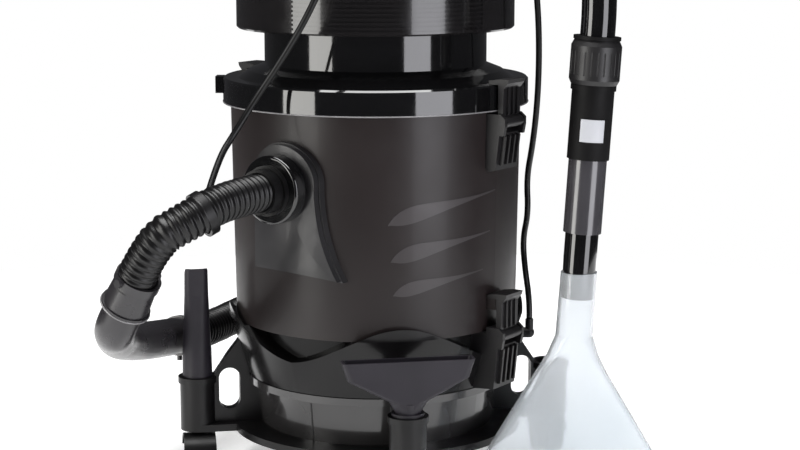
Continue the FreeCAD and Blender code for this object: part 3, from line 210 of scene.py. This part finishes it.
def clear(name):
    """Clear moulded plastic, a little milky, with faint flow lines."""
    made, tree, shader, where = material(name)
    flow = noise(tree, where, 9.0, 2.0, (1, 1, 0.35))
    milk = mixed(tree, ranged(tree, flow, 0, 1), (0.80, 0.85, 0.88), (0.91, 0.93, 0.95))
    tree.links.new(milk, shader.inputs["Base Color"])
    tree.links.new(ranged(tree, noise(tree, where, 60.0, 3.0), 0.08, 0.16), shader.inputs["Roughness"])
    shader.inputs["Transmission Weight"].default_value = 0.78
    shader.inputs["IOR"].default_value = 1.3
    bumped(tree, shader, flow, 0.001, 0.15)
    return made


def foamy(name):
    """Open-cell filter foam, with painted shade in its pores."""
    made, tree, shader, where = material(name)
    cells = tree.nodes.new("ShaderNodeTexVoronoi")
    cells.inputs["Scale"].default_value = 500.0
    tree.links.new(where.outputs["Object"], cells.inputs["Vector"])
    # Darker towards each cell's middle: painted shade in the foam's pores
    depth = ranged(tree, cells.outputs["Distance"], 0, 1, 0, 0.6)
    tree.links.new(mixed(tree, depth, (0.004, 0.004, 0.005), (0.05, 0.05, 0.052)), shader.inputs["Base Color"])
    shader.inputs["Roughness"].default_value = 0.95
    bumped(tree, shader, cells.outputs["Distance"], 0.0008)
    return made


gloss = plastic("gloss_black_plastic", (0.003, 0.003, 0.0032), (0.005, 0.005, 0.0055), 0.07,
                grain=500, grain_depth=0.00001, coat=0.6, rough_spread=0.02)
neck_gloss = plastic("neck_black_plastic", (0.004, 0.004, 0.0043), (0.006, 0.006, 0.0065), 0.09,
                     grain=500, grain_depth=0.00001, coat=0.6, rough_spread=0.02)
crown_gloss = plastic("crown_black_plastic", (0.003, 0.0028, 0.003), (0.006, 0.0055, 0.006), 0.2,
                      grain=600, grain_depth=0.00002, coat=0.1, rough_spread=0.04, specular=0.25)
satin = plastic("satin_black_plastic", (0.003, 0.003, 0.0033), (0.006, 0.0055, 0.006), 0.36,
                grain=800, specular=0.28)
latch_mat = plastic("latch_black_plastic", (0.008, 0.0075, 0.008), (0.013, 0.012, 0.013), 0.40,
                    grain=800, grain_depth=0.00003, specular=0.35)
skirt = plastic("skirt_grey_plastic", (0.020, 0.0192, 0.0196), (0.030, 0.0288, 0.0292), 0.17,
                grain=600, grain_depth=0.00002, coat=0.5)
tank = plastic("tank_dark_plastic", (0.003, 0.003, 0.0032), (0.005, 0.0048, 0.005), 0.22,
               grain=600, grain_depth=0.00002, rough_spread=0.04, specular=0.2)
plate_satin = plastic("inlet_plate_plastic", (0.010, 0.0095, 0.0105), (0.017, 0.016, 0.018), 0.33,
                      grain_depth=0.00006, coat=0.1)
charcoal = plastic("ribbed_charcoal_plastic", (0.007, 0.0065, 0.007), (0.012, 0.011, 0.012), 0.42)
hose_black = plastic("hose_black_plastic", (0.003, 0.003, 0.0032), (0.006, 0.0055, 0.006), 0.34,
                     grain=700, grain_depth=0.00003, specular=0.35)
elbow_mat = plastic("elbow_black_plastic", (0.016, 0.015, 0.017), (0.026, 0.024, 0.027), 0.30,
                    grain=700, grain_depth=0.00003, coat=0.15)
tube_black = plastic("tube_black_vinyl", (0.003, 0.003, 0.0032), (0.006, 0.006, 0.0065), 0.34,
                     grain=700, grain_depth=0.00002, specular=0.3)
grip_mat = plastic("grip_charcoal_plastic", (0.003, 0.0028, 0.003), (0.006, 0.0056, 0.006), 0.55,
                   grain=1100, grain_depth=0.0001, specular=0.14)
tail_mat = plastic("tail_charcoal_plastic", (0.040, 0.038, 0.043), (0.056, 0.054, 0.060), 0.22,
                   grain_depth=0.00003, coat=0.8)
button_mat = plastic("button_grey_plastic", (0.48, 0.49, 0.52), (0.55, 0.56, 0.59), 0.42, grain_depth=0.00003)
tool_mat = plastic("tool_grey_plastic", (0.014, 0.0125, 0.0165), (0.024, 0.021, 0.028), 0.44,
                   grain=1000, grain_depth=0.00008, specular=0.3)
wheel_mat = plastic("wheel_rubber", (0.006, 0.006, 0.006), (0.014, 0.013, 0.013), 0.55,
                    grain=600, grain_depth=0.0001, rough_spread=0.1)
seal_mat = plastic("seal_rubber", (0.008, 0.008, 0.008), (0.016, 0.016, 0.016), 0.6,
                   grain=700, grain_depth=0.00005)
white_mat = plastic("white_plastic", (0.72, 0.72, 0.70), (0.8, 0.8, 0.78), 0.35, grain=700, grain_depth=0.00003)
inner_mat = plastic("inner_grey_plastic", (0.07, 0.07, 0.07), (0.11, 0.11, 0.11), 0.45, grain=700)
# Light grey of the painted edge highlights on the lid's rim and the cuff's lip
painted_highlight_mat = plastic("painted_rim_highlight", (0.16, 0.155, 0.16), (0.24, 0.235, 0.24), 0.25,
                  grain=700, grain_depth=0.00002, coat=0.3)
motor_mat = plastic("motor_enamel", (0.2, 0.21, 0.22), (0.27, 0.28, 0.29), 0.4, grain=400, grain_depth=0.00005)
mark_mat = plastic("drum_mark_print", (0.034, 0.029, 0.030), (0.046, 0.040, 0.042), 0.38,
                   grain=700, grain_depth=0.00002, coat=0.05, specular=0.35)
band_mat = plastic("ribbed_gloss_plastic", (0.007, 0.0065, 0.0068), (0.011, 0.010, 0.0105), 0.16,
                   grain_depth=0.00002, coat=0.5, rough_spread=0.04)
steel = brushed("brushed_steel", (0.45, 0.45, 0.46), (0.62, 0.62, 0.63), 0.32)
alloy = brushed("fan_aluminium", (0.7, 0.71, 0.72), (0.8, 0.81, 0.82), 0.35, (30, 1, 1))
pin_mat = brushed("dark_pin_steel", (0.03, 0.03, 0.031), (0.05, 0.05, 0.052), 0.4)

SIDES = ("right", "left")
CORNERS = ("front_right", "rear_right", "rear_left", "front_left")
LOOKS = [
    (gloss, ["lid", "head_cap", "wand_spigot", "wand_tube", "inlet_socket"]),
    (elbow_mat, ["hose_elbow", "hose_flare"]),
    (latch_mat, ["upper_brackets", "lower_brackets"]),
    (latch_mat, [f"{level}_latch_{hand}" for level in ("upper", "lower") for hand in SIDES]),
    (neck_gloss, ["head_neck"]),
    (crown_gloss, ["base_crown"]),
    (satin, ["base_tray", "lobe_arms", "carry_handle", "switch_panel", "rocker_vacuum", "rocker_pump",
             "cord_gland", "pump_fitting", "tube_clip", "top_cuff", "hose_inlet_cuff"]),
    (satin, [f"caster_fork_{corner}" for corner in CORNERS]),
    (skirt, ["base_skirt"]),
    (tank, ["clean_tank"]),
    (smoked("smoked_drum_plastic"), ["drum"]),
    (plate_satin, ["inlet_plate"]),
    (band_mat, ["head_band"]),
    (charcoal, ["bleed_ring"]),
    (grip_mat, ["grip"]),
    (tail_mat, ["grip_tail"]),
    (button_mat, ["trigger_button"]),
    (tool_mat, ["crevice_tool", "upholstery_tool"]),
    (clear("clear_nozzle_plastic"), ["floor_nozzle"]),
    (wheel_mat, [f"caster_wheels_{corner}" for corner in CORNERS]),
    (steel, ["base_screws"]),
    (pin_mat, ["latch_pins"]),
    (seal_mat, ["lid_gasket"]),
    (foamy("filter_foam"), ["foam_filter"]),
    (white_mat, ["float_ball", "float_cage"]),
    (inner_mat, ["fan_housing", "water_pump"]),
    (alloy, ["impeller"]),
    (motor_mat, ["motor_body"]),
]
for look, names in LOOKS:
    for name in names:
        data = nodes[name].data
        data.materials.clear()
        data.materials.append(look)


# ---- helpers for the pieces made here ----------------------------------------------------------
def mesh_piece(name, points, faces, look):
    """Smooth-shaded mesh that rides on the machine's body."""
    data = bpy.data.meshes.new(name)
    data.from_pydata([tuple(p) for p in points], [], faces)
    data.validate()
    data.polygons.foreach_set("use_smooth", [True] * len(data.polygons))
    data.materials.append(look)
    piece = bpy.data.objects.new(name, data)
    scene.collection.objects.link(piece)
    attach(piece, "machine")
    return piece


def spline_line(points):
    """Smooth line through the route's control points, read off its own spline."""
    curve = bpy.data.curves.new("route_line", "CURVE")
    curve.dimensions = "3D"
    curve.resolution_u = 24
    spline = curve.splines.new("NURBS")
    spline.points.add(len(points) - 1)
    for place, point in zip(spline.points, points):
        place.co = (*point, 1)
    spline.order_u = 3
    spline.use_endpoint_u = True
    holder = bpy.data.objects.new("route_line", curve)
    scene.collection.objects.link(holder)
    bpy.context.view_layer.update()
    data = bpy.data.meshes.new_from_object(holder)
    line = [v.co.copy() for v in data.vertices]
    bpy.data.objects.remove(holder)
    bpy.data.meshes.remove(data)
    return line


def even_line(line, step):
    """The same line with points evenly spaced along it, and its length."""
    lengths = [0.0]
    for a, b in zip(line, line[1:]):
        lengths.append(lengths[-1] + (b - a).length)
    count = max(2, round(lengths[-1] / step))
    out, at = [], 0
    for i in range(count + 1):
        s = lengths[-1] * i / count
        while at < len(line) - 2 and lengths[at + 1] < s:
            at += 1
        span = lengths[at + 1] - lengths[at] or 1.0
        out.append(line[at].lerp(line[at + 1], (s - lengths[at]) / span))
    return out, lengths[-1]


def tube_mesh(line, radii, segments=36):
    """Points and faces of a closed tube along a line, with its own radius at each point."""
    points, faces = [], []
    normal = (line[1] - line[0]).orthogonal().normalized()
    last = None
    for i, centre in enumerate(line):
        along = (line[min(i + 1, len(line) - 1)] - line[max(i - 1, 0)]).normalized()
        if last is not None:
            normal = (last.rotation_difference(along) @ normal).normalized()
        last = along
        other = along.cross(normal)
        for k in range(segments):
            a = 2 * math.pi * k / segments
            points.append(centre + (normal * math.cos(a) + other * math.sin(a)) * radii[i])
        if i:
            before, here = (i - 1) * segments, i * segments
            for k in range(segments):
                m = (k + 1) % segments
                faces.append((before + k, before + m, here + m, here + k))
    faces.append(tuple(reversed(range(segments))))
    faces.append(tuple((len(line) - 1) * segments + k for k in range(segments)))
    return points, faces


def corrugated(name, route):
    """Corrugated hose: rounded rings, each a little uneven, along the route's own spline."""
    line, length = even_line(spline_line(route), HOSE_PITCH / 8)
    rings = length / HOSE_PITCH
    draws = random.Random(7)
    uneven = [draws.uniform(-HOSE_UNEVEN, HOSE_UNEVEN) for _ in range(int(rings) + 3)]
    radii = []
    for i in range(len(line)):
        phase = rings * i / (len(line) - 1)
        crest = 0.5 - 0.5 * math.cos(2 * math.pi * phase)
        radii.append(HOSE_RADIUS - HOSE_GROOVE + HOSE_GROOVE * crest ** 0.7
                     + (uneven[int(phase)] - HOSE_UNEVEN) * crest)
    points, faces = tube_mesh(line, radii)
    return mesh_piece(name, points, faces, hose_black), [tuple(p) for p in line], length


def on_wall(azimuth, radius, z):
    """Point on a round wall, at an azimuth in degrees from the machine's front."""
    a = math.radians(azimuth)
    return Vector((radius * math.sin(a), -radius * math.cos(a), z))


def drum_radius(z):
    """Outer radius of the tapered drum wall at a height, in metres."""
    return DRUM_RADIUS - DRUM_TAPER * (DRUM_HIGH - z) / DRUM_SPAN


# ---- painted lip highlights, seams and prints ------------------------------------------------------
def ring_line(name, centre, axis, radius, thick):
    """Thin pale ring round an axis, a painted edge highlight."""
    axis = Vector(axis).normalized()
    across = axis.orthogonal().normalized() if abs(axis.z) < 0.999 else Vector((0, -1, 0))
    other = axis.cross(across)
    around, section = 120, 8
    points, faces = [], []
    for i in range(around):
        a = math.radians(360 * i / around)
        out = across * math.cos(a) + other * math.sin(a)
        for k in range(section):
            b = 2 * math.pi * k / section
            points.append(Vector(centre) + out * (radius + thick * math.cos(b)) + axis * thick * math.sin(b))
    for i in range(around):
        n = (i + 1) % around
        for k in range(section):
            m = (k + 1) % section
            faces.append((i * section + k, n * section + k, n * section + m, i * section + m))
    piece = mesh_piece(name, points, faces, painted_highlight_mat)
    return piece


def skirt_seam(name, azimuth):
    """Raised mould seam up the skirt's tapered wall."""
    steps, across = 10, len(SEAM_PROFILE)
    points, faces = [], []
    for i in range(steps + 1):
        z = SEAM_LOW + (SEAM_HIGH - SEAM_LOW) * i / steps
        wall = SKIRT_RADIUS + (z - SKIRT_RADIUS_HEIGHT) * SKIRT_SLOPE
        for turn, out in SEAM_PROFILE:
            points.append(on_wall(azimuth + turn, wall + out, z))
    for i in range(steps):
        for j in range(across - 1):
            k = i * across + j
            faces.append((k, k + 1, k + across + 1, k + across))
    piece = mesh_piece(name, points, faces, seal_mat)


def leaf_mark(name, azimuth, sweep, foot, rise, thick):
    """Plain leaf-shaped print on the drum: full near its root, then a long blade that thins out."""
    steps, rows = 44, 4
    fullest = 0.2
    points, faces = [], []
    for i in range(steps + 1):
        t = max(0.004, i / steps)
        half = thick * ((t / fullest) * math.exp(1 - t / fullest)) ** 1.1
        middle = foot + rise * t ** 0.55
        for j in range(rows + 1):
            z = middle + half * (2 * j / rows - 1)
            points.append(on_wall(azimuth + sweep * t, drum_radius(z) + MARK_PROUD, z))
    for i in range(steps):
        for j in range(rows):
            k = i * (rows + 1) + j
            faces.append((k, k + rows + 1, k + rows + 2, k + 1))
    piece = mesh_piece(name, points, faces, mark_mat)


lid_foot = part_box("lid")[0][2]
# Pale rings along the lid's lower edge and the flared cuff's lip: painted edge highlights
ring_line("lid_edge_line", (0, 0, lid_foot + LID_HIGHLIGHT_RISE), (0, 0, 1), LID_HIGHLIGHT_RADIUS, LID_HIGHLIGHT_THICK)
flare_lip = ring_line("flare_lip_line", side(-257.3, 221.6, 233.4), side(-420, -350, -840),
                      LIP_HIGHLIGHT_RADIUS, LIP_HIGHLIGHT_THICK)
skirt_seam("skirt_seam_front", 4.5)
skirt_seam("skirt_seam_rear", 184.5)
# azimuth of the root and turn to the tip in degrees, then height, rise and half thickness in metres
leaf_mark("drum_mark_upper", 40, 49, 0.306, 0.0305, 0.0092)
leaf_mark("drum_mark_middle", 41, 45, 0.2665, 0.0255, 0.0090)
leaf_mark("drum_mark_lower", 42, 40, 0.2300, 0.0205, 0.0076)


# ---- the hoses and the solution tube ---------------------------------------------------------------
# The rear hose keeps closer to the head than the CAD hose does, and the tube's end runs on into the hose.
HOSE_FRONT = [Vector((0, -0.185, 0.345)), Vector((0, -0.259, 0.345)), side(-184, 245, 330),
              side(-228, 259, 306), side(-257.6, 221.3, 232.8)]
HOSE_REAR = [side(-227.9, -15.3, 147.0), side(-210.7, -55.4, 141.2), side(-192, -110, 139),
             side(-166, -164, 142), side(-126, -211, 149), side(-74, -246, 161), side(-14, -264, 180),
             side(44, -264, 210), side(82, -256, 254), side(97, -240, 310), side(101, -226, 374),
             side(102, -214, 438), side(106, -206, 502), side(124, -198, 560), side(158, -186, 608),
             side(202, -160, 642), side(238, -112, 662), side(247.7, -54, 670), side(237.7, -8, 672),
             side(237.7, 24, 672)]
SOLUTION = [side(177, 0, 170), side(177, 0, 192), side(173, -28, 224), side(171, -42, 256),
            side(176, -24, 290), side(174, -32, 330), side(179, -8, 372), side(182, 14, 420),
            side(183, 22, 470), side(181, 30, 522), side(175, 40, 574), side(152, 54, 618),
            side(108, 70, 640), side(62, 90, 644), side(16, 116, 636), side(-24, 147, 614),
            side(-48, 171, 574), side(-69, 176, 528), side(-96, 169, 484), side(-124, 161, 443),
            side(-146, 169, 407), side(-161, 188, 384), side(-169.5, 213.5, 352.9)]

front, front_path, front_length = corrugated("hose_front_ribbed", HOSE_FRONT)
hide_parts("hose_front")
rear, rear_path, rear_length = corrugated("hose_rear_ribbed", HOSE_REAR)
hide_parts("hose_rear")
tube_line, tube_length = even_line(spline_line(SOLUTION), 0.004)
tube_points, tube_faces = tube_mesh(tube_line, [TUBE_RADIUS] * len(tube_line), 16)
tube = mesh_piece("solution_tube_line", tube_points, tube_faces, tube_black)
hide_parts("solution_tube")


# ---- floor, room and light ---------------------------------------------------------------------------
def area_light(name, place, aim, width, height, power, tint):
    data = bpy.data.lights.new(name, "AREA")
    data.shape = "RECTANGLE"
    data.size, data.size_y = width, height
    data.energy = power
    data.color = tint
    lamp = bpy.data.objects.new(name, data)
    lamp.location = place
    lamp.rotation_euler = (place - aim).to_track_quat("Z", "Y").to_euler()
    scene.collection.objects.link(lamp)


turns = [2 * math.pi * k / FLOOR_SIDES for k in range(FLOOR_SIDES)]
floor_data = bpy.data.meshes.new("floor")
floor_data.from_pydata([(FLOOR_RADIUS * math.cos(a), FLOOR_RADIUS * math.sin(a), 0) for a in turns], [],
                       [tuple(range(FLOOR_SIDES))])
floor = bpy.data.objects.new("floor", floor_data)
scene.collection.objects.link(floor)
floor_mat, floor_tree, floor_shader, floor_where = material("floor_pale")
floor_cloud = ranged(floor_tree, noise(floor_tree, floor_where, 2.0), 0, 1)
floor_tree.links.new(mixed(floor_tree, floor_cloud, (0.92, 0.92, 0.92), (0.95, 0.95, 0.95)),
                     floor_shader.inputs["Base Color"])
floor_shader.inputs["Roughness"].default_value = 0.6
floor_shader.inputs["Specular IOR Level"].default_value = 0.2
floor_shader.inputs["Emission Color"].default_value = (1, 1, 1, 1)
floor_shader.inputs["Emission Strength"].default_value = FLOOR_GLOW
floor_data.materials.append(floor_mat)

world = bpy.data.worlds.new("studio")
world.use_nodes = True
world_tree = world.node_tree
room = world_tree.nodes["Background"]
ray = world_tree.nodes.new("ShaderNodeLightPath")
is_seen = world_tree.nodes.new("ShaderNodeMath")
is_seen.operation = "MAXIMUM"
world_tree.links.new(ray.outputs["Is Camera Ray"], is_seen.inputs[0])
world_tree.links.new(ray.outputs["Is Transmission Ray"], is_seen.inputs[1])
world_tree.links.new(mixed(world_tree, is_seen.outputs["Value"], UNSEEN_ROOM, SEEN_ROOM), room.inputs["Color"])
room.inputs["Strength"].default_value = 1.0
scene.world = world
scene.view_settings.view_transform = "Standard"
area_light("softbox_left", side(-1820, 1230, 450), side(0, 0, 450), 1.0, 1.9, 36, (1.0, 0.99, 0.955))
area_light("softbox_right", side(1500, 1610, 450), side(0, 0, 450), 1.1, 1.9, 30, (0.95, 0.95, 1.0))
area_light("top", side(0, 100, 2500), side(0, 0, 300), 1.8, 1.6, 78, (1.0, 1.0, 1.0))
